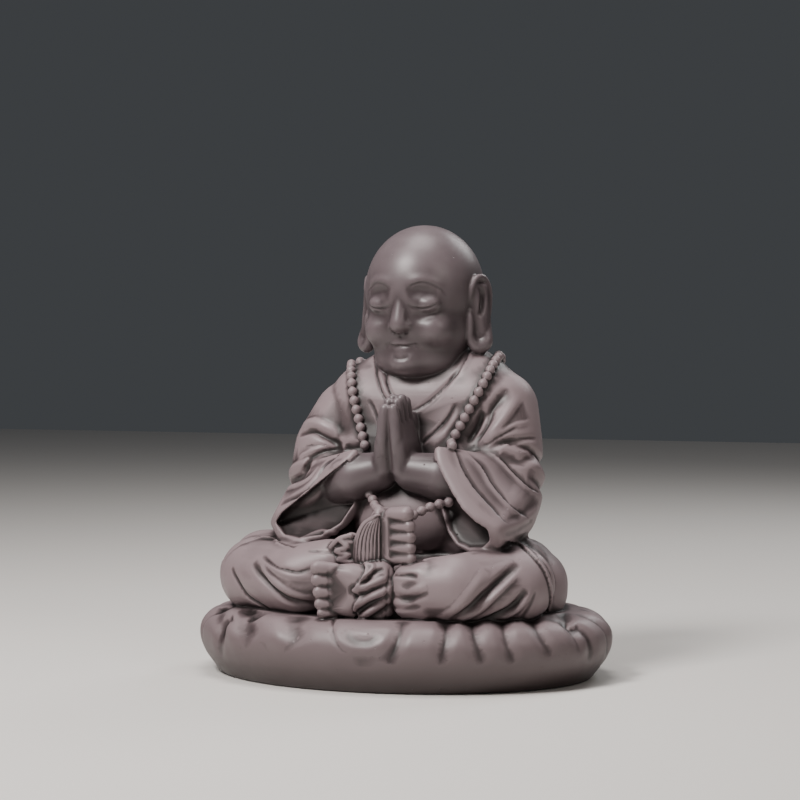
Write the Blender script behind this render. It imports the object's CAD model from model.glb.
# %% [markdown]
# # A praying buddha statue, sculpted in Blender
#
# The object is a garden casting about 40 cm tall: a chubby seated monk with his palms together, cast in
# one piece with the stuffed cushion under him. Cast stone has no seams and no separate parts, so the
# lesson works as a sculptor does. Balls of clay are stretched into limbs, fused and rubbed smooth, folds
# are pressed in along strokes, and small forms are laid on last.

# %% Load the frame
import math

import bpy
import numpy as np
from mathutils import Matrix, Vector
from mathutils.bvhtree import BVHTree


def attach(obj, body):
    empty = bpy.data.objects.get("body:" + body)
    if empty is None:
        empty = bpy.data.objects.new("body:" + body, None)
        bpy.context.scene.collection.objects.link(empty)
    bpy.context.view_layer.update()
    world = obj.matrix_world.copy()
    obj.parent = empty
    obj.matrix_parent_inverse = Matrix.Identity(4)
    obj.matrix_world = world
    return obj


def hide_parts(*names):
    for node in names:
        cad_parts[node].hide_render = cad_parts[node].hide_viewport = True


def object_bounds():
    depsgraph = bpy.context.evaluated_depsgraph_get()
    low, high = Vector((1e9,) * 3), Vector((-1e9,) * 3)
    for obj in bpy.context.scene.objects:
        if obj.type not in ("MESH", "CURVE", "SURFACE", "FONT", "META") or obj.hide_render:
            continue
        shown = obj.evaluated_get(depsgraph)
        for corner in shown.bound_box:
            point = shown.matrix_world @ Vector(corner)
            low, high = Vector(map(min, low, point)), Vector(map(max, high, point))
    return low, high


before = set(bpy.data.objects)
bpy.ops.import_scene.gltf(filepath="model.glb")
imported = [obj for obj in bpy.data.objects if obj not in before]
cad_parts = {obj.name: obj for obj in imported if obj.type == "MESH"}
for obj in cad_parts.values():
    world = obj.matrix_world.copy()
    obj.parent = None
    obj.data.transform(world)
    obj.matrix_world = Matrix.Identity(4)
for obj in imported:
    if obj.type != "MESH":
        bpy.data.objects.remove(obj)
cad_low, cad_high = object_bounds()
MM = (cad_high[2] - cad_low[2]) / 400  # the statue is 400 of its own millimetres tall
SEAT = 60 * MM  # top of the cushion
print("frame box in mm", [round(v * 1000) for v in (*cad_low, *cad_high)])

# %% [markdown]
# ## Studio
#
# The camera stands 20 degrees to the statue's left and a little below the crown of its head, far enough
# away for a long lens. The key light is a soft box above and in front of the statue's right side, and a
# broad soft light hangs overhead, so shadows fall under the folds. That is what shows carving best.

# %% Camera
VIEW_ANGLE = math.radians(20)
CAMERA_DISTANCE = 2.18
CAMERA_HEIGHT = 0.319

bpy.ops.object.camera_add(
    location=(
        CAMERA_DISTANCE * math.sin(VIEW_ANGLE),
        -CAMERA_DISTANCE * math.cos(VIEW_ANGLE),
        CAMERA_HEIGHT,
    )
)
camera = bpy.context.object
camera.data.lens = 110
camera.data.clip_start = 0.01
LOOK_AT = Vector((-0.0034, -0.0012, 0.2432))
camera.rotation_euler = (LOOK_AT - camera.location).to_track_quat("-Z", "Y").to_euler()
bpy.context.scene.camera = camera

# %% Floor and lights
def srgb(code):
    """A hex colour such as #8a7c7a as linear red, green, blue and alpha."""
    values = [int(code[i:i + 2], 16) / 255 for i in (1, 3, 5)]
    return (*[v / 12.92 if v <= 0.04045 else ((v + 0.055) / 1.055) ** 2.4 for v in values], 1)


def add_node(tree, kind, links=(), **settings):
    """Adds a node, sets its values and links {input: socket} into it."""
    node = tree.nodes.new(kind)
    for key, value in settings.items():
        setattr(node, key, value)
    for key, source in dict(links).items():
        if isinstance(source, bpy.types.NodeSocket):
            tree.links.new(source, node.inputs[key])
        else:
            node.inputs[key].default_value = source
    return node


def new_material(name):
    material = bpy.data.materials.new(name)
    material.use_nodes = True
    tree = material.node_tree
    return material, tree, tree.nodes["Principled BSDF"]


FLOOR_SIZE = 8  # metres
bpy.ops.mesh.primitive_plane_add(size=FLOOR_SIZE)
floor = bpy.context.object
floor.name = "studio_floor"
floor_paint, _, floor_shader = new_material("pale_studio_floor")
floor_shader.inputs["Base Color"].default_value = srgb("#d9d6d2")
floor_shader.inputs["Roughness"].default_value = 0.7
floor.data.materials.append(floor_paint)

world = bpy.data.worlds.new("studio_air")
world.use_nodes = True
world.node_tree.nodes["Background"].inputs["Color"].default_value = srgb("#dfe6ee")
world.node_tree.nodes["Background"].inputs["Strength"].default_value = 0.07
bpy.context.scene.world = world


def softbox(name, place, size, watts, colour):
    bpy.ops.object.light_add(type="AREA", location=place)
    light = bpy.context.object
    light.name = name
    light.data.size = size
    light.data.energy = watts
    light.data.color = srgb(colour)[:3]
    light.rotation_euler = (Vector((0, 0, 0.2)) - light.location).to_track_quat("-Z", "Y").to_euler()


softbox("key_softbox", (-0.6, -1.15, 1.6), 0.55, 48, "#fffaf7")
softbox("sky_softbox", (-0.1, 0.0, 1.9), 0.9, 21, "#fffaf7")
softbox("window_right", (1.5, -0.8, 1.3), 0.5, 5, "#fff6ee")
softbox("rim_behind", (0.6, 1.6, 1.5), 0.8, 12, "#ffffff")

# %% [markdown]
# ## Clay tools
#
# A ball is a primitive. Stretching one skin over a few balls, with the convex hull operator, gives a
# thigh, a finger or the bell of a sleeve. Fusing joins the lumps with a voxel remesh, which makes one
# closed skin, and a Smooth modifier rubs the joins out. All numbers are millimetres from the seat.

# %% Clay tools
CLAY_VOXEL = 2.0 * MM  # rough masses
SKIN_VOXEL = 0.9 * MM  # the finished skin
SMALL_VOXEL = 0.7 * MM  # fingers, toes, face and beads
BODY = Matrix.Translation((0, 0, SEAT)) @ Matrix.Scale(MM, 4)


def pick(*objects):
    if bpy.context.mode != "OBJECT":
        bpy.ops.object.mode_set(mode="OBJECT")
    bpy.ops.object.select_all(action="DESELECT")
    for obj in objects:
        obj.select_set(True)
    bpy.context.view_layer.objects.active = objects[0]


def flat_list(parts):
    for part in parts:
        if isinstance(part, (list, tuple)):
            yield from flat_list(part)
        else:
            yield part


def lump(*balls, place=BODY, segments=28):
    """One skin over some balls, each (x, y, z, radius or radii)."""
    obj = bpy.data.objects.new("clay", bpy.data.meshes.new("clay"))
    bpy.context.scene.collection.objects.link(obj)
    pick(obj)
    bpy.ops.object.mode_set(mode="EDIT")
    for x, y, z, size in balls:
        radii = size if isinstance(size, tuple) else (size,) * 3
        bpy.ops.mesh.primitive_uv_sphere_add(segments=segments, ring_count=segments // 2, radius=1)
        bpy.ops.transform.resize(value=radii, center_override=(0, 0, 0))
        bpy.ops.transform.translate(value=(x, y, z))
    bpy.ops.mesh.select_all(action="SELECT")
    bpy.ops.mesh.convex_hull()
    bpy.ops.object.mode_set(mode="OBJECT")
    obj.data.transform(place)
    return obj


def limb(*balls, place=BODY, segments=28):
    """A chain of tapering stretches from ball to ball."""
    return [lump(a, b, place=place, segments=segments) for a, b in zip(balls, balls[1:])]


# %% Ropes, fusing and hollowing
def smooth_line(points, step):
    """Points at even steps along a smooth curve through a few points."""
    p = np.array(points, float)
    p = np.vstack([2 * p[0] - p[1], p, 2 * p[-1] - p[-2]])
    made = []
    for a, b, c, d in zip(p, p[1:], p[2:], p[3:]):
        count = max(2, int(np.linalg.norm(c - b) / step) + 1)
        t = np.linspace(0, 1, count, endpoint=False)[:, None]
        bend = (2 * a - 5 * b + 4 * c - d) * t**2 + (3 * b - a - 3 * c + d) * t**3
        made.append(0.5 * (2 * b + (c - a) * t + bend))
    return np.vstack([*made, p[-2]])


def between(first, last, count):
    """Curves spread evenly from one guide to another."""
    a, b = np.array(first, float), np.array(last, float)
    return [a + (b - a) * t for t in np.linspace(0, 1, count)]


def rope(points, place=BODY, segments=14, step=3.0):
    """A limb whose few points, each (x, y, z, radius), are joined by a smooth curve."""
    return limb(*(tuple(p) for p in smooth_line(points, step)), place=place, segments=segments)


def apply_all(obj):
    pick(obj)
    for modifier in list(obj.modifiers):
        bpy.ops.object.modifier_apply(modifier=modifier.name)


def fuse(name, parts, voxel, rubs=0):
    """Joins lumps into one closed skin and rubs it smooth."""
    parts = list(flat_list(parts))
    pick(*parts)
    if len(parts) > 1:
        bpy.ops.object.join()
    obj = bpy.context.object
    obj.name = name
    remesh = obj.modifiers.new("Remesh", "REMESH")
    remesh.mode = "VOXEL"
    remesh.voxel_size = voxel
    if rubs:
        smooth = obj.modifiers.new("Smooth", "SMOOTH")
        smooth.factor = 0.5
        smooth.iterations = rubs
    apply_all(obj)
    return obj


def hollow_out(obj, cutter):
    boolean = obj.modifiers.new("Hollow", "BOOLEAN")
    boolean.operation = "DIFFERENCE"
    boolean.object = cutter
    apply_all(obj)
    bpy.data.objects.remove(cutter)


# %% [markdown]
# ## Strokes
#
# Carved cloth is a pattern of strokes: ridges, grooves, creases and tucks, where one layer laps the
# next. A stroke is drawn on a board that faces the statue from one side, as a smooth curve through a
# few points. It is cast onto the clay, and each vertex near it moves along its normal. Sculpt brushes
# need a window, so this is done with numpy on the vertex positions.

# %% Stroke profiles
def ridge(x, side):
    return (1 - x * x) ** 2


def groove(x, side):
    return -((1 - x) ** 2) * (1 + 2 * x)


def crease(x, side):
    return -((1 - x) ** 3)


def tuck(x, side):
    """A sharp step down from the stroke's left to its right."""
    return np.where(side > 0, 0.55, -0.45) * (1 - x) ** 1.6


# %% Stroke tools
def board(azimuth, place=BODY):
    """A drawing board seen from this side: across, up and depth, in millimetres."""
    turn = Matrix.Rotation(-math.radians(azimuth), 4, "Z")
    return Matrix.Rotation(-math.pi / 2, 4, "X") @ turn @ place.inverted()


def on_board(view, points, place=BODY):
    """Where points of the figure fall on a drawing board."""
    return [tuple((view @ place @ Vector(p))[:2]) for p in points]


def vertex_arrays(obj):
    count = len(obj.data.vertices)
    co, normals = np.empty(count * 3), np.empty(count * 3)
    obj.data.vertices.foreach_get("co", co)
    obj.data.vertex_normals.foreach_get("vector", normals)
    return co.reshape(-1, 3), normals.reshape(-1, 3)


def even_steps(path, step):
    """The same path with its points set at even distances."""
    along = np.r_[0, np.cumsum(np.linalg.norm(np.diff(path, axis=0), axis=1))]
    steps = np.linspace(0, along[-1], max(3, int(along[-1] / step) + 1))
    return np.column_stack([np.interp(steps, along, column) for column in path.T])


RAY_START = 1000  # rays start this far in front of the board
DEEPEST = 70  # how far back a stroke may follow the clay from its nearest place
FACING = -0.03  # clay that looks away from the board more than this isn't pressed
FADE = 0.4  # share of a stroke's length over which its end fades


def press(obj, view, strokes):
    """Presses strokes into the clay. Each is (profile, half width, height, points[, ends]), where
    ends are the shares of the height that it keeps at its two ends."""
    tree = BVHTree.FromObject(obj, bpy.context.evaluated_depsgraph_get())
    co, normals = vertex_arrays(obj)
    m = np.array(view)
    flat = co @ m[:3, :3].T + m[:3, 3]
    back = view.inverted()
    inward = (back.to_3x3() @ Vector((0, 0, -1))).normalized()
    facing = normals @ np.array(inward) < FACING
    for profile, width, height, points, *rest in strokes:
        ends = rest[0] if rest else (0, 0)
        line = smooth_line(points, width / 4)
        hits = [tree.ray_cast(back @ Vector((s, t, RAY_START)), inward)[0] for s, t in line]
        found = [(i, (view @ hit).z) for i, hit in enumerate(hits) if hit is not None]
        nearest = min((z for _, z in found), default=0)
        found = [(i, z) for i, z in found if z - nearest < DEEPEST]
        if not found:
            print("a stroke misses the clay", points[0])
            continue
        depth = np.interp(range(len(hits)), *zip(*found))
        path = even_steps(np.column_stack([line, depth]), width / 5)
        low, high = path.min(0) - width, path.max(0) + width
        near = np.flatnonzero(facing & ((flat > low) & (flat < high)).all(1))
        if not len(near):
            continue
        gaps = flat[near][:, None, :] - path[None, :, :]
        away = (gaps**2).sum(2)
        which = away.argmin(1)
        rows = np.arange(len(near))
        x = np.clip(np.sqrt(away[rows, which]) / width, 0, 1)
        along, gap = np.gradient(path, axis=0)[which], gaps[rows, which]
        side = np.where(along[:, 0] * gap[:, 1] - along[:, 1] * gap[:, 0] > 0, 1.0, -1.0)
        t = which / max(len(path) - 1, 1)
        fade = ends[0] + (1 - ends[0]) * np.sin(np.clip(t / FADE, 0, 1) * math.pi / 2)
        fade *= ends[1] + (1 - ends[1]) * np.sin(np.clip((1 - t) / FADE, 0, 1) * math.pi / 2)
        push = np.where(x < 1, profile(x, side), 0) * height * fade * MM
        co[near] += normals[near] * push[:, None]
    obj.data.vertices.foreach_set("co", co.ravel())
    obj.data.update()


# %% [markdown]
# ## Masses of the body
#
# Torso, lap and hips come first, then the crossed legs and the upper arms. They are only balls and the
# skins between them, so each can be moved by a few millimetres until the outline is right.

# %% Torso, legs and arms
torso = [
    lump((-55, 42, 20, 40), (69, 42, 20, 40), (-36, 18, 70, 50), (50, 18, 70, 50)),
    lump((-30, 22, 70, 54), (44, 22, 70, 54), (-34, 28, 140, 46), (48, 28, 140, 46)),
    lump((-36, 28, 140, 44), (50, 28, 140, 44), (-40, 32, 176, 42), (62, 32, 178, 42)),
    lump((-36, 34, 182, 38), (54, 34, 190, 38), (-24, 38, 206, 24), (42, 38, 212, 24)),
    lump((-8, -6, 82, 40), (26, -6, 82, 40), (8, 6, 112, 40)),
    limb((8, 36, 190, 33), (8, 32, 220, 36)),
]
hips = [
    lump((7, 34, 18, (118, 66, 52))),
    lump((-92, 40, 12, 32), (106, 40, 12, 32), (-106, 8, 24, 32), (116, 12, 22, 32)),
    lump((-128, -16, 34, 31), (-104, 10, 30, 34), (-60, -14, 36, 28), (-50, -40, 34, 26)),
    lump((112, 4, 18, 38), (104, 20, 30, 32), (60, 0, 40, 26)),
    lump((-40, -30, 14, 30), (50, -30, 14, 30), (-40, 10, 30, 34), (50, 10, 30, 34)),
]
right_leg = limb((-60, 28, 34, 36), (-127, -36, 26, 34), (-122, -42, 25, 33))
right_leg += limb((-122, -44, 25, 33), (-66, -78, 28, 32), (-38, -82, 42, 23))
left_leg = limb((74, 28, 34, 36), (118, -38, 26, 33), (116, -46, 24, 33))
left_leg += limb((116, -48, 24, 32), (78, -84, 27, 31), (58, -88, 25, 27), (52, -88, 24, 25))
left_leg.append(lump((39, -98, 34, 13), (39, -98, 13, 13), (54, -98, 36, 14), (54, -98, 12, 13)))
robe_flap = limb((100, -10, 66, 9), (120, -8, 52, 10), (132, -4, 32, 11), (133, -6, 8, 11))
upper_arms = limb((-34, 34, 186, 30), (-62, 28, 166, 34), (-77, 20, 138, 34), (-82, 8, 100, 31))
upper_arms += limb((56, 34, 194, 30), (79, 30, 174, 36), (85, 22, 146, 36), (93, 8, 104, 33))

# %% [markdown]
# ## Sleeves
#
# A wide sleeve is a bell with a mouth. The rim is a loop of places round the mouth: the skin over its
# small balls and the elbow makes the bell, and the same loop, a little smaller and pushed outwards,
# makes the clay that is cut from it. The cut is only a shallow dish with a thick lip, because a mould
# can't be drawn out of a deep sleeve, so the casting is nearly full there.

# %% Sleeves
RIM_RADIUS = 4.2  # of the lip round the mouth
MOUTH_SHARE = 0.86  # how much of the mouth's width is cut out
CUT_RADIUS = 1.5  # of the balls at the edge of the cut
CUT_REACH = 40  # how far the clay that is cut stands out of the mouth
DISH_RADIUS = 2.5  # of the ball that rounds the bottom of the dish
RIGHT_RIM = [
    (-28, -50, 138), (-38, -58, 123), (-44, -60, 107), (-58, -58, 93), (-83, -50, 84), (-106, -36, 81),
    (-114, -28, 72), (-100, -44, 62), (-81, -54, 60), (-56, -56, 64), (-38, -49, 76), (-27, -38, 96),
]
LEFT_RIM = [
    (51, -54, 142), (55, -60, 131), (62, -64, 119), (70, -68, 107), (81, -72, 94), (94, -72, 84),
    (108, -68, 76), (110, -62, 67), (101, -60, 59), (84, -57, 57), (71, -53, 61), (61, -47, 72),
    (52, -38, 94),
]


def sleeve(elbow, rim):
    """The bell from an elbow's balls to a rim, and the clay that hollows its mouth."""
    loop = [Vector(p) for p in rim]
    middle = sum(loop, Vector()) / len(loop)
    out = sum((a.cross(b) for a, b in zip(loop, loop[1:] + loop[:1])), Vector()).normalized()
    bell = lump(*elbow, *((*p, RIM_RADIUS) for p in loop))
    inner = [middle + (p - middle) * MOUTH_SHARE for p in loop]
    outer = [p + out * CUT_REACH for p in inner]
    hollow = lump(*((*p, CUT_RADIUS) for p in inner + outer), (*middle, DISH_RADIUS))
    return bell, hollow


right_sleeve, right_hollow = sleeve([(-82, 6, 96, 30), (-100, -4, 84, 18)], RIGHT_RIM)
left_sleeve, left_hollow = sleeve([(93, 6, 100, 33), (103, -8, 84, 22)], LEFT_RIM[::-1])
masses = [torso, hips, right_leg, left_leg, robe_flap, upper_arms, right_sleeve, left_sleeve]
robe = fuse("robe", masses, CLAY_VOXEL, 14)
hollow_out(robe, fuse("hollows", [right_hollow, left_hollow], CLAY_VOXEL))
robe = fuse("robe", [robe], SKIN_VOXEL, 6)
print("robe", len(robe.data.vertices), "vertices")

# %% [markdown]
# ## Folds of the robe
#
# Heavy cloth gathers where the arm bends, so most folds start at the crook of an elbow and fan out:
# up to the shoulder, and down round the sleeve. On the trousers they run from the knee to the ankle.
# The sides that a shelf would hide get fewer and plainer folds of the same kind.

# %% Folds of the sleeves and the collar
RIGHT_ARM_FOLDS = [
    (ridge, 7, 2.2, [(-96, 158), (-82, 162), (-68, 157), (-52, 146)]),
    (groove, 5, 3.8, [(-95, 150), (-83, 154), (-72, 150), (-55, 141)]),
    (crease, 2.5, 1.6, [(-89, 141), (-79, 142), (-66, 141)]),
    (groove, 4, 2.2, [(-86, 130), (-74, 136), (-65, 138), (-52, 139)]),
    (ridge, 4, 1.4, [(-96, 129), (-84, 136), (-70, 141)]),
    (groove, 5, 3.6, [(-107, 107), (-98, 112), (-90, 118), (-82, 128), (-76, 132)]),
    (ridge, 5, 2.0, [(-108, 102), (-96, 106), (-85, 113), (-76, 124)]),
    (groove, 5, 3.8, [(-110, 90), (-100, 96), (-90, 102), (-79, 114), (-70, 126), (-55, 138)]),
    (ridge, 6, 1.8, [(-102, 88), (-84, 95), (-69, 108), (-60, 122), (-51, 134)]),
]
LEFT_ARM_FOLDS = [
    (groove, 8, 4.5, [(92, 196), (83, 184), (70, 170), (58, 153), (50, 143)]),
    (groove, 4, 3.5, [(70, 175), (63, 158), (56, 146)]),
    (groove, 4, 3.0, [(80, 175), (70, 158), (62, 146)]),
    (ridge, 5, 2.2, [(80, 188), (68, 168), (59, 150)]),
    (ridge, 7, 2.8, [(102, 188), (88, 169), (70, 147)]),
    (crease, 3, 2.0, [(102, 163), (84, 153), (68, 143)]),
    (ridge, 4, 1.2, [(112, 166), (92, 160), (72, 147)]),
    (groove, 5, 2.6, [(117, 151), (95, 150), (74, 143)]),
    (groove, 8, 3.6, [(84, 139), (100, 132), (117, 134)]),
    (tuck, 7, -2.0, [(44, 142), (50, 126), (60, 110), (75, 93), (88, 80)], (0.4, 0.2)),
    (tuck, 8, -2.6, [(55, 139), (67, 127), (76, 112), (89, 97), (109, 80)], (0.1, 0.1)),
    (tuck, 8, -3.0, [(72, 141), (84, 133), (97, 119), (108, 109), (121, 101)], (0.1, 0.1)),
    (ridge, 7, 1.8, [(80, 76), (98, 80), (118, 90)]),
]
COLLAR_FOLDS = [
    (crease, 2.4, 3.0, [(-27, 222), (-25, 212), (-24, 203), (-20, 190), (-14, 181)], (1, 0.3)),
    (crease, 2.2, 3.0, [(-17, 214), (-16, 207), (-14, 196), (-9, 185)], (1, 0.3)),
    (ridge, 3, 1.2, [(-22, 214), (-20, 202), (-16, 190), (-11, 182)]),
    (crease, 3, 2.0, [(-32, 184), (-27, 176), (-21, 160)]),
    (tuck, 5, 1.8, [(62, 230), (50, 210), (37, 196), (23, 182), (2, 168)], (1, 0.5)),
    (groove, 3.5, 1.2, [(50, 212), (30, 190), (8, 172)]),
    (groove, 3, 1.0, [(56, 214), (41, 200), (30, 186), (12, 172)]),
    (crease, 4, 3.2, [(46, 181), (34, 163), (12, 143)], (0, 0.6)),
    (ridge, 5, 1.4, [(50, 176), (38, 158), (24, 144)]),
]
press(robe, board(20), RIGHT_ARM_FOLDS + LEFT_ARM_FOLDS + COLLAR_FOLDS)

# %% Folds of the trousers
RIGHT_LEG_FOLDS = [
    (tuck, 4, -3.0, [(-170, 14), (-165, 34), (-151, 51), (-128, 60), (-107, 58), (-82, 55)], (0.5, 0.2)),
    (crease, 3.5, 3.0, [(-124, 48), (-111, 41), (-101, 39), (-90, 38), (-76, 43)]),
    (ridge, 5, 1.6, [(-120, 43), (-98, 34), (-76, 34)]),
    (groove, 6, 4.6, [(-133, 42), (-124, 31), (-111, 19), (-97, 12), (-72, 9)]),
    (ridge, 5, 2.0, [(-126, 39), (-108, 25), (-90, 17), (-72, 16)]),
    (groove, 4, 3.0, [(-153, 36), (-146, 22), (-136, 10), (-114, 0)]),
    (crease, 2, 1.2, [(-148, 28), (-139, 16), (-122, 5)]),
    (crease, 3, 2.0, [(-84, 55), (-71, 55), (-58, 53)]),
    (ridge, 4, 1.6, [(-92, 62), (-72, 68), (-56, 66), (-44, 60)]),
]
LEFT_LEG_FOLDS = [
    (groove, 3.2, 2.6, [(-8, 38), (2, 39), (12, 38.5)], (0.5, 0)),
    (ridge, 4, 2.2, [(-9, 44), (4, 46), (15, 44), (20, 39), (14, 33), (2, 31.5), (-9, 33)]),
    (groove, 5, 2.2, [(-9, 20), (4, 19), (22, 25)], (0.4, 0)),
    (ridge, 5, 1.2, [(-8, 27), (4, 26), (20, 30)]),
    (groove, 4, 1.4, [(-9, 10), (1, 10), (16, 15)], (0.4, 0)),
    (ridge, 7, 2.4, [(29, 2), (43, 11), (56, 26), (70, 43)]),
    (groove, 7, 5.0, [(37, 2), (55, 11), (68, 23), (80, 34), (98, 49)]),
    (ridge, 5, 2.4, [(44, -1), (63, 10), (80, 26), (96, 40)]),
    (groove, 6, 4.2, [(62, -1), (80, 5), (92, 12), (104, 26)]),
    (ridge, 4, 2.0, [(82, 0), (97, 10), (109, 25)]),
    (groove, 5, 1.6, [(100, 0), (108, 12), (113, 26)]),
    (tuck, 6, 4.0, [(84, 67), (99, 61), (112, 51), (122, 36), (126, 18), (125, 0)], (0.2, 0.6)),
    (groove, 4, 1.8, [(102, 63), (114, 54), (124, 42), (129, 26), (128, 8)]),
    (tuck, 4, 2.4, [(10, 50), (26, 51), (43, 55), (64, 57)], (0.6, 0)),
]
press(robe, board(20), RIGHT_LEG_FOLDS + LEFT_LEG_FOLDS)

# %% Folds on the back and the sides
back_folds = [
    (groove, 8, 3.6, curve)
    for curve in between(
        [(-84, 176), (-58, 132), (-16, 104), (34, 96)], [(-96, 130), (-78, 84), (-40, 52), (10, 40)], 4
    )
]
back_folds += [
    (ridge, 7, 2.0, curve)
    for curve in between(
        [(-90, 160), (-68, 118), (-26, 88), (24, 80)], [(-94, 140), (-76, 98), (-34, 66), (16, 54)], 3
    )
]
back_folds += [
    (groove, 9, 4.2, [(x, 62), (x * 1.2, 30), (x * 1.34, 2)]) for x in (-74, -46, -20, 8, 36, 62, 86)
]
back_folds += [
    (ridge, 8, 2.4, [(x, 56), (x * 1.2, 28), (x * 1.36, 3)]) for x in (-60, -33, -6, 22, 49, 74)
]
side_folds = [
    (groove, 7, 3.4, [(-34, 152), (0, 130), (30, 124)]),
    (groove, 7, 3.4, [(-30, 118), (2, 102), (30, 98)]),
    (ridge, 7, 2.0, [(-32, 136), (0, 116), (30, 110)]),
    (groove, 8, 3.4, [(12, 34), (30, 22), (50, 6)]),
    (groove, 7, 2.8, [(4, 18), (22, 8), (34, -2)]),
    (ridge, 7, 1.8, [(10, 27), (28, 15), (42, 2)]),
]
mirrored_folds = [
    (profile, width, height, [(-s, t) for s, t in points])
    for profile, width, height, points in side_folds
]
press(robe, board(180), back_folds)
press(robe, board(-90), mirrored_folds)
press(robe, board(100), side_folds)

# %% [markdown]
# ## Hands
#
# The palms meet on the body's middle. Seen from the side a hand is a mitten that thins from the heel to
# the fingertips, and the fingers are short fat limbs side by side, so the grooves between them come by
# themselves. One hand is made, and the other is its mirror image.

# %% Forearms and hands
PALM_X = 7.5  # where the two palms meet
# from the first finger to the little one: y, top of the tip and radius
FINGERS = [(-27, 187.5, 5.4), (-38, 190, 5.6), (-48.5, 187, 5.5), (-58.5, 182, 5.2)]


def palm(side):
    """Heel, palm and thumb of one hand."""
    def at(x, y, z, radius):
        return (PALM_X + side * x, y, z, radius)

    return [
        lump(
            at(7.4, -25, 148, 7.6), at(7.4, -55, 146, 7.4), at(8.8, -30, 124, 9.4), at(8.8, -50, 126, 9)
        ),
        lump(
            at(7.4, -25, 148, 7.6), at(7.4, -55, 146, 7.4), at(5.8, -28, 164, 6), at(5.6, -56, 161, 5.8)
        ),
        lump(at(9, -30, 122, 9), at(9, -50, 124, 9), at(20, -40, 120, 14)),
        limb(at(10, -20, 128, 10), at(8, -13, 142, 8.6), at(5.8, -12, 158, 6.4), at(4.6, -14, 169, 5)),
        lump(at(8, -16, 140, 8), at(8, -50, 140, 8), at(9.5, -20, 126, 9.5), at(9, -48, 126, 9)),
    ]


def fingers(side):
    pieces = []
    for y, top, radius in FINGERS:
        knuckle, tip = (PALM_X + side * x for x in (6.4, 3.8))
        pieces.append(
            limb(
                (knuckle, y * 0.98, 140, radius * 0.8),
                (knuckle, y * 0.99, 153, radius + 0.5),
                (knuckle - side * 1.4, y, 168, radius + 0.3),
                (tip, y, top - radius * 0.85, radius * 0.88),
            )
        )
    return pieces


right_forearm = limb((-80, 4, 100, 24), (-30, -40, 116, 21), (-8, -42, 122, 17))
left_forearm = limb((93, 4, 100, 24), (49, -41, 118, 21), (23, -42, 122, 17))
hands = fuse("hands", [right_forearm, left_forearm, palm(1), palm(-1)], SMALL_VOXEL * 1.3, 24)
hands = fuse("hands", [hands, fingers(1), fingers(-1)], SMALL_VOXEL, 3)

# %% [markdown]
# ## Feet and cuffs
#
# Each foot shows its sole's edge, with five toes like a row of short sausages. The trouser ends are
# gathered with a drawstring, so each is a ring of ruffles: fat folds that splay towards a wavy edge.
# The left one is pressed in with strokes, and the right one is built up from ropes of clay.

# %% Feet
def toe(root, tip, radius):
    """A short sausage with a nail laid on the front of its tip."""
    side = 1 if tip[0] > root[0] else -1
    nail = (
        tip[0] + side * radius * 0.2, tip[1] - radius * 0.62, tip[2] + 0.6, (2.9, 2.6, radius * 0.55)
    )
    middle = (
        root[0] * 0.45 + tip[0] * 0.55, root[1] * 0.4 + tip[1] * 0.6, root[2] * 0.5 + tip[2] * 0.5
    )
    return [limb((*root, radius * 0.88), (*middle, radius * 0.95), (*tip, radius)), lump(nail)]


# from the big toe to the little one: height, radius and where the tip ends
LEFT_TOES = [(43.5, 6.4, -42), (33, 6.0, -41.5), (22.5, 5.9, -40), (12.5, 5.5, -38.5), (4.4, 4.8, -36)]
RIGHT_TOES = [(89, 6.9, 44.5), (78.7, 5.8, 46), (69.4, 5.6, 46.5), (60, 5.5, 46.5), (51.2, 5.2, 47)]
left_foot = [lump(
    (10, -98, 24, 20), (-8, -107, 36, 11), (-8, -107, 12, 11), (-23, -112, 40, 6), (-23, -112, 9, 6)
)]
for z, radius, end in LEFT_TOES:
    left_foot.append(toe((-22, -112.5, z * 0.96), (end + radius, -118, z), radius))
right_foot = [lump(
    (6, -80, 66, 14), (12, -84, 82, 12), (12, -84, 56, 12), (22, -90, 84, 9.5), (23, -90, 53, 9)
)]
for z, radius, end in RIGHT_TOES:
    right_foot.append(toe((24, -94.5, z), (end - radius, -98, z + 0.6), radius))
left_cuff = lump(
    (13, -97, 36, 14), (13, -97, 10, 14), (7, -102, 35, 13), (7, -102, 10, 13), (2, -104, 22, 13)
)
feet = fuse("feet", [left_foot, left_cuff, right_foot], SMALL_VOXEL, 4)

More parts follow.
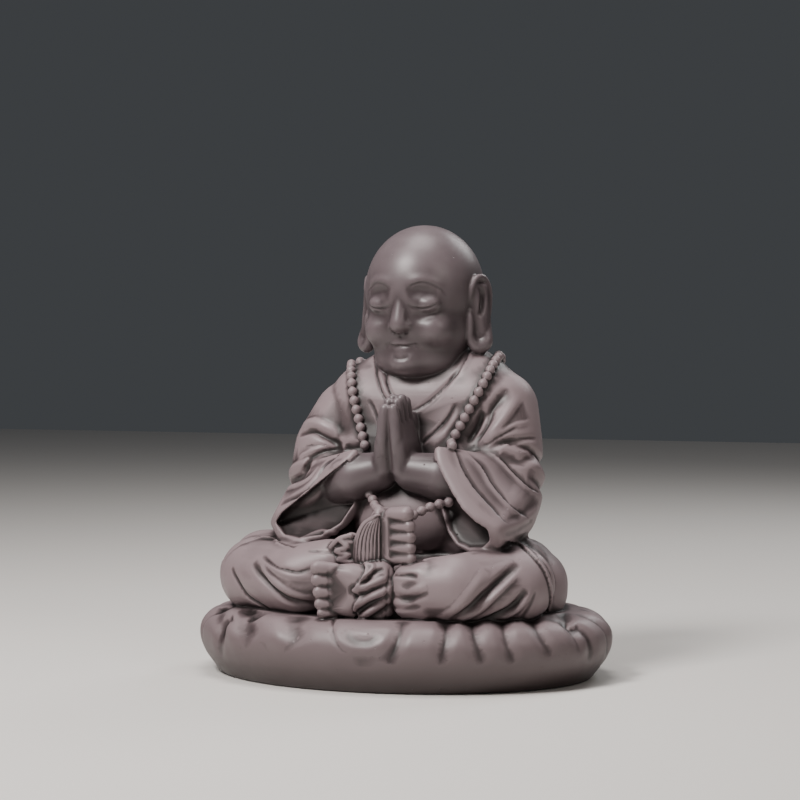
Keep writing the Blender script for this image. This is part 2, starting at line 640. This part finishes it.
# %% Cuffs
# the free edge of the left cuff zigzags over the foot, and its folds climb towards the drawstring
CUFF_FOLDS = [
    (tuck, 5, 3.4, [
        (-36, 50), (-33, 42), (-40, 30), (-44, 25), (-39, 20), (-43, 10), (-42, 6), (-38, 2), (-36, -5)
    ], (1, 1)),
    (groove, 4, 3.6, [(-41, 20), (-33, 23), (-25, 27), (-14, 31)], (0.8, 0.4)),
    (groove, 4, 3.6, [(-41, 5), (-36, 8), (-29, 13), (-14, 20)], (0.8, 0.4)),
    (groove, 4, 2.8, [(-34, -4), (-26, 2), (-14, 10)], (0.6, 0.4)),
    (ridge, 4, 1.8, [(-40, 27), (-35, 28), (-25, 32), (-14, 37)], (0.6, 0.4)),
    (ridge, 4, 1.8, [(-41, 13), (-36, 15), (-28, 20), (-14, 25)], (0.6, 0.4)),
    (ridge, 4, 1.8, [(-37, 2), (-28, 8), (-14, 15)], (0.6, 0.4)),
    (groove, 3.5, 3.4, [(-19, 43), (-26, 40), (-32, 34), (-38, 32)], (0.4, 0.4)),
    (ridge, 3, 1.8, [(-36, 47), (-27, 46), (-28, 41), (-34, 36), (-41, 30)], (0.6, 0.4)),
    (crease, 2.5, 2.2, [(-12, 44), (-14, 30), (-15, 14), (-15, 0)], (0.6, 0.6)),
    (crease, 2.5, 0.7, [(-65, 47), (-65, 30), (-64, 14), (-63, 2)], (0.6, 0.6)),
]
press(feet, board(20), CUFF_FOLDS)
RUFFLE_EDGE = [(-34, -94, 49, 2.8), (-32, -96, 58, 2.8), (-24, -97, 66, 2.8), (-13, -97, 70, 2.4)]
RUFFLE_WAVE = [
    (-13, -97, 64, 2.2), (-22, -98, 65, 2.3), (-16, -99, 60, 2.3), (-26, -99, 56, 2.3),
    (-15, -99, 53, 2.3), (-24, -99, 49, 2.3), (-13, -98, 47, 2.2),
]
right_cuff = [
    lump((-33, -88, 53, 9), (-15, -90, 64, 8), (-15, -90, 52, 8)),
    rope(RUFFLE_EDGE),
    rope(RUFFLE_WAVE, step=2),
]
cuffs = fuse("cuffs", right_cuff, SMALL_VOXEL, 2)

# %% [markdown]
# ## Tassel
#
# The bead string ends in a knot and a tassel of thick strands, which lies on the ankle. Its two outer
# strands are given, and the rest are spread between them. The lines between the strands are pressed
# into the finished casting, because fusing would fill them.

# %% Tassel
STRAND_RADIUS = 2.0
STRANDS = 8
TASSEL_BULGE = 5  # how far the middle strands stand in front of the outer ones
LEFT_STRAND = [(9, -95, 87), (-1, -96, 81), (-7, -97, 70), (-9.5, -97, 57), (-10, -96, 46)]
RIGHT_STRAND = [(13, -95, 87), (15, -96, 80), (15.5, -96, 70), (16, -96, 57), (15.5, -95, 46)]
tassel = [
    lump((11, -92, 90, (5, 5, 4.5))),
    lump((10, -88, 84, 4), (-5, -90, 64, 5), (12, -90, 64, 5), (-6, -90, 49, 4), (12, -90, 49, 4)),
]
for i, strand in enumerate(between(LEFT_STRAND, RIGHT_STRAND, STRANDS)):
    across = 2 * i / (STRANDS - 1) - 1
    strand[:, 1] -= TASSEL_BULGE * (1 - across * across)
    tassel.append(rope([(*p, STRAND_RADIUS) for p in strand], step=6))
tassel = fuse("tassel", tassel, SMALL_VOXEL, 1)

# %% [markdown]
# ## Head
#
# A ball for the skull and one for the jaw, rubbed until the join is gone. The face is a plain calm one
# on a drawing book's thirds: eyes halfway up the head and one eye's width apart, the foot of the nose
# midway between brow and chin, the mouth a third of the way below it.

# %% Head
HEAD = BODY @ Matrix.Translation((8, 31, 272)) @ Matrix.Rotation(math.radians(-6), 4, "Z")
SIDES = (-1, 1)
HEAD_VOXEL = 1.4 * MM
head = fuse("head", [
    lump((0, 2, 9, (54, 57, 59.5)), place=HEAD),
    lump((0, -4, -22, (50, 48, 46)), place=HEAD),
    lump((-24, -31, -26, (19, 19, 17)), place=HEAD),
    lump((24, -31, -26, (19, 19, 17)), place=HEAD),
    lump((0, -37, -54, (18, 15, 13)), place=HEAD),
    lump((0, -10, -51, (42, 38, 22)), place=HEAD),
], HEAD_VOXEL, 110)
head = fuse("head", [head], SMALL_VOXEL, 4)


# %% Eye sockets, nose, lids and lips
def both(profile, width, height, points, *ends):
    """A stroke and its mirror image, both drawn towards the face's left."""
    mirrored = [(-s, t) for s, t in reversed(points)]
    return [(profile, width, height, points, *ends), (profile, width, height, mirrored, *ends)]


press(head, board(0, HEAD), [
    *both(groove, 9, 3.4, [(8, 5), (20, 8), (33, 4)]),
    *both(ridge, 6, 1.2, [(8, 14), (15, 18), (26, 18.5), (37, 12)]),
    *both(groove, 8, 1.8, [(12, -13), (22, -14), (32, -10)]),
])
NOSE = [(0, -46.5, 9, 6), (0, -48, -4, 7), (0, -50.5, -16, 8), (0, -51.5, -21, 8.4)]
UPPER_LIP = [
    (-11, -43, -39, 2.4), (-5, -46.5, -36.8, 3.4), (0, -46.8, -37.6, 3.2), (5, -46.5, -36.8, 3.4),
    (11, -43, -39, 2.4),
]
LOWER_LIP = [(-9, -43, -42, 2.4), (-4, -45, -43.6, 3.6), (4, -45, -43.6, 3.6), (9, -43, -42, 2.4)]
features = [
    rope(NOSE, place=HEAD),
    lump((-6, -49, -22, (5.8, 6.2, 5)), (6, -49, -22, (5.8, 6.2, 5)), place=HEAD),
    lump((-21, -40.6, -3.4, (14, 9.6, 8.4)), place=HEAD),
    lump((21, -40.6, -3.4, (14, 9.6, 8.4)), place=HEAD),
    rope(UPPER_LIP, place=HEAD),
    rope(LOWER_LIP, place=HEAD),
]
head = fuse("head", [head, features], SMALL_VOXEL, 22)

# %% [markdown]
# ## Ears
#
# Long lobes are part of the old way of carving such a figure. A rope of clay makes the rim, thickening
# into the lobe, a thin shell closes it to the head, and one stroke hollows it.

# %% Ears
EAR_RIM = [
    (50, -12, 1, 2.2), (52, -12, 10, 2.8), (54, -6, 19, 3), (57, 3, 20, 3.2), (60, 8, 10, 3.3),
    (60, 8, -4, 3.4), (59, 6, -16, 4), (60, 3, -27, 5.2), (60, 0, -38, 7), (54, -5, -41, 6),
    (50, -9, -32, 4.5), (51, -12, -18, 3.2), (49.5, -11, -9, 2.4),
]
EAR_SHELL = [
    (52, -8, 12, 4), (57, 3, 12, 4), (58, 5, -8, 4), (52, -6, -18, 4), (58, 1, -34, 6),
    (49, -6, -6, 4), (50, -5, -32, 4),
]
ears = []
for side in SIDES:
    ears.append(rope([(side * x, y, z, radius) for x, y, z, radius in EAR_RIM], place=HEAD))
    ears.append(lump(*((side * x, y, z, radius) for x, y, z, radius in EAR_SHELL), place=HEAD))
head = fuse("head", [head, ears], SMALL_VOXEL, 3)
for side in SIDES:
    press(head, board(side * 50, HEAD), [
        (groove, 4.5, 4.0, [(side * 32, 13), (side * 36, 6), (side * 35, -5), (side * 32, -15)]),
    ])

# %% [markdown]
# ## Prayer beads
#
# Round beads sit half sunk in the cloth. Their string is drawn on the board like a stroke, and a bead is
# set down each time the line on the clay has run one bead's spacing.

# %% Beads
BEAD_RADIUS = 4.4
BEAD_SPACING = 8.3
BEAD_STANDS_OUT = 0.55  # how far a bead's middle stands out of the cloth, as a share of its radius
STRING_STEP = 0.4  # distance between the places that are tried along a string


def spaced(places):
    """Of many places along a line, those that are a bead's spacing apart."""
    kept = []
    for place in places:
        if not kept or (place - kept[-1]).length >= BEAD_SPACING * MM:
            kept.append(place)
    return kept


def bead_places(points, view, surface):
    """Places for beads on the surface under a string drawn on a board."""
    back = view.inverted()
    inward = (back.to_3x3() @ Vector((0, 0, -1))).normalized()
    places = []
    for s, t in smooth_line(points, STRING_STEP):
        hit, normal = surface.ray_cast(back @ Vector((s, t, RAY_START)), inward)[:2]
        if hit is not None:
            places.append(hit + normal * BEAD_RADIUS * BEAD_STANDS_OUT * MM)
    return spaced(places)


RIGHT_CHEST_STRING = [
    (-28, 232), (-38, 229), (-44, 222), (-46.5, 212), (-46, 198), (-44, 184), (-39, 163), (-35, 146),
    (-33, 138),
]
LEFT_CHEST_STRING = [(88, 226), (80, 216), (72, 202), (61, 182), (52, 165), (44, 150), (40, 141)]
NAPE_STRING = [(-80, 226), (-60, 204), (-30, 186), (-4, 180), (26, 186), (50, 204), (60, 226)]
# in the lap the string hangs free, so its points have a place in the air
LAP_STRINGS = [
    [(-14, -49, 102), (-8, -56, 96.5), (-3, -64, 92), (4, -76, 91), (10, -88, 91)],
    [(60, -52, 97), (52, -58, 95.5), (44, -64, 92), (37, -70, 88), (30, -76, 84), (22, -80, 82)],
]
cloth = BVHTree.FromObject(robe, bpy.context.evaluated_depsgraph_get())
bead_strings = [
    bead_places(RIGHT_CHEST_STRING, board(20), cloth),
    bead_places(LEFT_CHEST_STRING, board(20), cloth),
    bead_places(NAPE_STRING, board(180), cloth),
]
for points in LAP_STRINGS:
    bead_strings.append(spaced([BODY @ Vector(p) for p in smooth_line(points, STRING_STEP)]))
bpy.ops.mesh.primitive_ico_sphere_add(subdivisions=3, radius=BEAD_RADIUS * MM)
one_bead = bpy.context.object
beads = []
for place in [p for string in bead_strings for p in string]:
    bead = one_bead.copy()
    bead.data = one_bead.data.copy()
    bead.data.transform(Matrix.Translation(place))
    bpy.context.scene.collection.objects.link(bead)
    beads.append(bead)
bpy.data.objects.remove(one_bead)
print(len(beads), "beads")

# %% [markdown]
# ## Cushion
#
# A stuffed oval cushion: a profile spun round with the Screw modifier, then squeezed to an oval. Its
# cover is gathered under the edge, so soft folds hang from it, closest together at the front.

# %% Cushion
half_length = (cad_high[0] - cad_low[0]) / 2
half_depth = (cad_high[1] - cad_low[1]) / 2
# the side's profile as shares of the half length and of the height, drawn smooth on a sheet
CUSHION_SIDE = [(0.80, 1), (0.92, 0.93), (0.985, 0.76), (1, 0.56), (0.98, 0.34), (0.93, 0.12), (0.90, 0)]
SHEET_LENGTH = 100
SHEET_HEIGHT = 30
edge = smooth_line([(r * SHEET_LENGTH, z * SHEET_HEIGHT) for r, z in CUSHION_SIDE], 1.5)
side_line = [(half_length * r / SHEET_LENGTH, 0, SEAT * z / SHEET_HEIGHT) for r, z in edge]
outline = [(0, 0, SEAT), *side_line, (0, 0, 0)]
profile_mesh = bpy.data.meshes.new("cushion")
profile_mesh.from_pydata(outline, [(i, i + 1) for i in range(len(outline) - 1)], [])
cushion = bpy.data.objects.new("cushion", profile_mesh)
bpy.context.scene.collection.objects.link(cushion)
screw = cushion.modifiers.new("Screw", "SCREW")
screw.steps = screw.render_steps = 128
screw.use_merge_vertices = True
screw.merge_threshold = 0.0001
apply_all(cushion)
cushion.data.transform(Matrix.Diagonal((1, half_depth / half_length, 1, 1)))
cushion = fuse("cushion", [cushion], SKIN_VOXEL * 1.3, 10)
# gathers under the top edge of the front, then the larger dents at the cushion's right end
PUCKERS = [
    [(-2, -1), (-8, -18), (-14, -34)],
    [(35, 0), (34, -12), (29, -34)],
    [(57, 0), (61, -18), (67, -34)],
    [(83, 0), (87, -18), (93, -34)],
    [(109, 0), (116, -12), (126, -30)],
    [(137, 2), (146, -14), (152, -30)],
]
cushion_folds = []
for down in PUCKERS:
    cushion_folds.append((groove, 12, 3.2, down, (0.5, 0)))
    cushion_folds.append((crease, 4, 0.8, down, (0.6, 0)))
cushion_folds += [
    (groove, 16, 4.4, [(-134, 6), (-135, -8), (-128, -22)], (0.7, 0)),
    (groove, 12, 2.6, [(-164, 0), (-162, -16), (-156, -32)], (0.5, 0)),
    (ridge, 10, 1.8, [(-152, 0), (-151, -16), (-144, -34)], (0.4, 0)),
    (ridge, 16, 2.0, [(-114, -2), (-110, -14), (-100, -24)], (0.4, 0)),
    (groove, 18, 3.0, [(-93, 6), (-92, -10), (-88, -22)], (0.6, 0)),
    (crease, 4, 2.2, [(-60, 2), (-60, -8), (-56, -18), (-46, -26)], (0.8, 0)),
    (groove, 9, 2.0, [(-50, -8), (-42, -13), (-30, -14), (-20, -8)], (0.4, 0.3)),
    (groove, 12, 1.4, [(-52, -25), (-36, -30), (-20, -26), (-8, -14)], (0.2, 0.2)),
]
press(cushion, board(20), cushion_folds)
hidden_puckers = [
    (groove, 13, 4.0, [(x, -3), (x + 2, -20), (x + 4, -40)], (0.4, 0))
    for x in (-96, -60, -22, 18, 58, 98)
]
for azimuth in (110, 190, 270):
    press(cushion, board(azimuth), hidden_puckers)
cushion = fuse("cushion", [cushion], SKIN_VOXEL, 8)

# %% [markdown]
# ## One casting
#
# Everything is fused once more, so that the joins close as they do in a mould, and the finest lines are
# pressed last: brows, eyelids, mouth and the gaps between the tassel's strands. The flat underside is
# cut with bisect, and the mesh is thinned where the surface is plain.

# %% Cast
skin_trees = [
    BVHTree.FromObject(part, bpy.context.evaluated_depsgraph_get()) for part in (head, hands)
]
parts = [robe, hands, feet, cuffs, tassel, head, beads, cushion]
statue = fuse("cast_statue", parts, SKIN_VOXEL, 2)
print("cast", len(statue.data.vertices), "vertices")

# %% Last fine lines
face_lines = [
    *both(crease, 3, 1.0, [(9, 9), (14, 13.6), (24, 15.4), (34, 10.4), (38, 5)], (0.3, 0.2)),
    *both(crease, 3, 1.7, [(9.5, -4.6), (14, -6.8), (21, -7.6), (28, -6.4), (34, -3)], (0.3, 0.3)),
    *both(crease, 2.2, 1.6, [(3.2, -28.2), (6, -29), (9, -28)]),
    *both(groove, 3, 0.6, [(13, -38), (15, -40.4), (14.6, -43)]),
    (crease, 2.6, 1.3, [(-13.5, -39), (-6, -40.6), (0, -40), (6, -40.6), (13.5, -39)], (0.4, 0.4)),
    (groove, 2, 0.9, [(0, -29), (0, -34.5)]),
    (groove, 4.5, 1.4, [(-9, -50), (0, -51.6), (9, -50)]),
]
press(statue, board(0, HEAD), face_lines)
gaps_between = between(LEFT_STRAND, RIGHT_STRAND, 2 * STRANDS - 1)[1::2]
for gap in gaps_between:
    gap[-1] = 0.75 * gap[-1] + 0.25 * gap[-2]  # so that a line stops short of the strands' ends
gap_lines = [(crease, 1.7, 1.6, on_board(board(20), gap), (0.5, 0.7)) for gap in gaps_between]
press(statue, board(20), gap_lines)
print(len(face_lines), "lines on the face,", len(gap_lines), "on the tassel")

# %% Flat underside and thinning
UNDERSIDE_CUT = 0.0002  # height of the cut above the ground, in metres
STATUE_TRIANGLES = 190000
pick(statue)
bpy.ops.object.mode_set(mode="EDIT")
bpy.ops.mesh.select_all(action="SELECT")
bpy.ops.mesh.bisect(
    plane_co=(0, 0, UNDERSIDE_CUT), plane_no=(0, 0, -1), use_fill=True, clear_outer=True
)
bpy.ops.object.mode_set(mode="OBJECT")
triangles = sum(len(p.vertices) - 2 for p in statue.data.polygons)
thin = statue.modifiers.new("Thin", "DECIMATE")
thin.ratio = min(1, STATUE_TRIANGLES / triangles)
apply_all(statue)
bpy.ops.object.shade_smooth()
print("cast", triangles, "triangles, thinned to", len(statue.data.polygons))

# %% [markdown]
# ## Where dust and wash lie
#
# The casting was washed dark and rubbed back, so the hollows stayed nearly black and the high places
# turned a dusty pinkish grey. A vertex is high or low beside its neighbours: the mesh is averaged over
# itself many times, and how far a vertex stands proud of that average is kept as an attribute, once for
# fine forms and once for broad ones. A third attribute says where the skin of the head and hands is.
# There the stone was left smoother and darker, with little wash.

# %% Relief attributes
def relief(obj, rounds, reach):
    """How far each vertex stands out of the skin after some rounds of smoothing, from -1 in a
    hollow as deep as the reach to 1 on a ridge as high."""
    co, normals = vertex_arrays(obj)
    edges = np.empty(len(obj.data.edges) * 2, int)
    obj.data.edges.foreach_get("vertices", edges)
    a, b = edges[0::2], edges[1::2]
    share = np.bincount(edges, minlength=len(co)).astype(float)[:, None]
    soft = co.copy()
    for _ in range(rounds):
        total = np.column_stack([
            np.bincount(a, soft[b, i], len(co)) + np.bincount(b, soft[a, i], len(co)) for i in range(3)
        ])
        soft = 0.5 * soft + 0.5 * total / share
    height = ((co - soft) * normals).sum(1) / (reach * MM)
    return np.clip(height, -1, 1)


def keep_attribute(obj, name, values):
    attribute = obj.data.attributes.new(name, "FLOAT", "POINT")
    attribute.data.foreach_set("value", values.astype(np.float32))


def near_share(obj, trees, reach):
    """1 where a vertex lies on one of the trees' surfaces, falling to 0 at the reach."""
    gaps = [min(tree.find_nearest(v.co)[3] for tree in trees) for v in obj.data.vertices]
    return np.clip(2 - np.array(gaps) * 2 / (reach * MM), 0, 1)


fine_relief = relief(statue, rounds=12, reach=0.5)
broad_relief = relief(statue, rounds=90, reach=6.0)
skin_share = near_share(statue, skin_trees, reach=2.4)
keep_attribute(statue, "fine_relief", fine_relief)
keep_attribute(statue, "broad_relief", broad_relief)
keep_attribute(statue, "skin_share", skin_share)
print(f"{(broad_relief < 0).mean():.0%} lies in hollows and {skin_share.mean():.0%} is skin")

# %% [markdown]
# ## Cast stone with a dark wash
#
# The real surface is cast stone sealed with a satin coat, and its body colour is a mauve brown. Layers
# are laid over it one by one: high places rubbed pale, dust in patches on what faces up, wash in the
# hollows, a darker tone on the skin, and soil near the foot of the cushion. Each has a mask of its own,
# made from the relief attributes, the way the surface faces or the height above the ground.

# %% Where each layer lies
MOTTLE_MM = 22  # size of the dusty patches
SOIL_TOP_MM = 66  # soil fades out at this height
SKIN_RELIEF = 0.22  # how much of rubbing and wash the skin keeps
MOST_WASH = 0.85
MOST_DUST = 0.4

# washed cast stone: a satin mauve brown, pale on its edges and nearly black in its folds
stone, tree, shader = new_material("washed_cast_stone")
place = add_node(tree, "ShaderNodeTexCoord").outputs["Object"]
level = add_node(tree, "ShaderNodeSeparateXYZ", {"Vector": place}).outputs["Z"]
facing = add_node(tree, "ShaderNodeNewGeometry").outputs["Normal"]
up = add_node(tree, "ShaderNodeSeparateXYZ", {"Vector": facing}).outputs["Z"]
fine = add_node(tree, "ShaderNodeAttribute", attribute_name="fine_relief").outputs["Fac"]
broad = add_node(tree, "ShaderNodeAttribute", attribute_name="broad_relief").outputs["Fac"]
skin = add_node(tree, "ShaderNodeAttribute", attribute_name="skin_share").outputs["Fac"]
mottle = add_node(
    tree, "ShaderNodeTexNoise", {"Vector": place, "Scale": 1 / (MOTTLE_MM * MM), "Detail": 6}
).outputs["Fac"]
relief_sum = add_node(tree, "ShaderNodeMath", {0: fine, 1: broad}, operation="ADD").outputs[0]
robe_share = add_node(
    tree, "ShaderNodeMapRange", {"Value": skin, "To Min": 1.0, "To Max": SKIN_RELIEF}
).outputs["Result"]
height = add_node(
    tree, "ShaderNodeMath", {0: relief_sum, 1: robe_share}, operation="MULTIPLY"
).outputs[0]
hollow_share = add_node(
    tree, "ShaderNodeMapRange",
    {"Value": height, "From Min": -0.1, "From Max": -1.0, "To Max": MOST_WASH},
).outputs["Result"]
high_share = add_node(
    tree, "ShaderNodeMapRange", {"Value": height, "From Min": -0.05, "From Max": 0.7}
).outputs["Result"]
patches = add_node(
    tree, "ShaderNodeMapRange", {"Value": mottle, "From Min": 0.3, "From Max": 0.7}
).outputs["Result"]
upward_share = add_node(
    tree, "ShaderNodeMapRange", {"Value": up, "From Min": 0.1, "From Max": 1.0, "To Max": MOST_DUST}
).outputs["Result"]
dust_share = add_node(
    tree, "ShaderNodeMath", {0: upward_share, 1: patches}, operation="MULTIPLY"
).outputs[0]
soil_share = add_node(
    tree, "ShaderNodeMapRange", {"Value": level, "From Min": SOIL_TOP_MM * MM, "From Max": 0}
).outputs["Result"]

# %% Layers of colour
WASH = srgb("#15100f")
BODY_COLOUR = srgb("#504446")
RUBBED = srgb("#837477")
DUST = srgb("#8c7c80")
SKIN_TINT = srgb("#e2e6e8")
SOIL_TINT = srgb("#68625e")

rubbed = add_node(
    tree, "ShaderNodeMix", {"Factor": high_share, 6: BODY_COLOUR, 7: RUBBED}, data_type="RGBA"
).outputs[2]
dusty = add_node(
    tree, "ShaderNodeMix", {"Factor": dust_share, 6: rubbed, 7: DUST}, data_type="RGBA"
).outputs[2]
washed = add_node(
    tree, "ShaderNodeMix", {"Factor": hollow_share, 6: dusty, 7: WASH}, data_type="RGBA"
).outputs[2]
handled = add_node(
    tree, "ShaderNodeMix", {"Factor": skin, 6: washed, 7: SKIN_TINT}, data_type="RGBA",
    blend_type="MULTIPLY"
).outputs[2]
soiled = add_node(
    tree, "ShaderNodeMix", {"Factor": soil_share, 6: handled, 7: SOIL_TINT}, data_type="RGBA",
    blend_type="MULTIPLY"
).outputs[2]
tree.links.new(soiled, shader.inputs["Base Color"])

# %% [markdown]
# ## Satin coat, grain and pits
#
# The coat is worn in patches, so the robe's roughness follows the same mottling, and the skin is a
# little smoother. The grain of the stone and the odd pit left by an air bubble are bump, being finer
# than the mesh.

# %% Roughness and bump
SKIN_ROUGHNESS = 0.4
GRAIN_MM = 0.9  # the real grain is finer, and is drawn this coarse so that it shows
GRAIN_DEPTH_MM = 0.12
PIT_SPACING_MM = 10
PIT_DEPTH_MM = 0.4

robe_roughness = add_node(
    tree, "ShaderNodeMapRange",
    {"Value": mottle, "From Min": 0.3, "From Max": 0.7, "To Min": 0.4, "To Max": 0.55},
).outputs["Result"]
roughness = add_node(
    tree, "ShaderNodeMapRange", {"Value": skin, "To Min": robe_roughness, "To Max": SKIN_ROUGHNESS}
).outputs["Result"]
tree.links.new(roughness, shader.inputs["Roughness"])
shader.inputs["IOR"].default_value = 1.5
grain = add_node(
    tree, "ShaderNodeTexNoise", {"Vector": place, "Scale": 1 / (GRAIN_MM * MM), "Detail": 3}
).outputs["Fac"]
grain_bump = add_node(
    tree, "ShaderNodeBump", {"Height": grain, "Strength": 0.4, "Distance": GRAIN_DEPTH_MM * MM}
).outputs["Normal"]
pits = add_node(
    tree, "ShaderNodeTexVoronoi", {"Vector": place, "Scale": 1 / (PIT_SPACING_MM * MM)}
).outputs["Distance"]
pit_holes = add_node(
    tree, "ShaderNodeMapRange", {"Value": pits, "From Min": 0.03, "From Max": 0.09}
).outputs["Result"]
pit_bump = add_node(
    tree, "ShaderNodeBump",
    {"Height": pit_holes, "Strength": 0.8, "Distance": PIT_DEPTH_MM * MM, "Normal": grain_bump},
).outputs["Normal"]
tree.links.new(pit_bump, shader.inputs["Normal"])
statue.data.materials.clear()
statue.data.materials.append(stone)
print("stone", len(tree.nodes), "nodes")

# %% [markdown]
# ## Handing over
#
# The statue takes the place of the plain solid, takes its finish from the stone slot, and rides on the
# only body. Its box is compared with the solid's, because it may not stand out of it.

# %% Hang the statue on the frame
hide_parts("praying_buddha_statue")
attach(statue, "root")
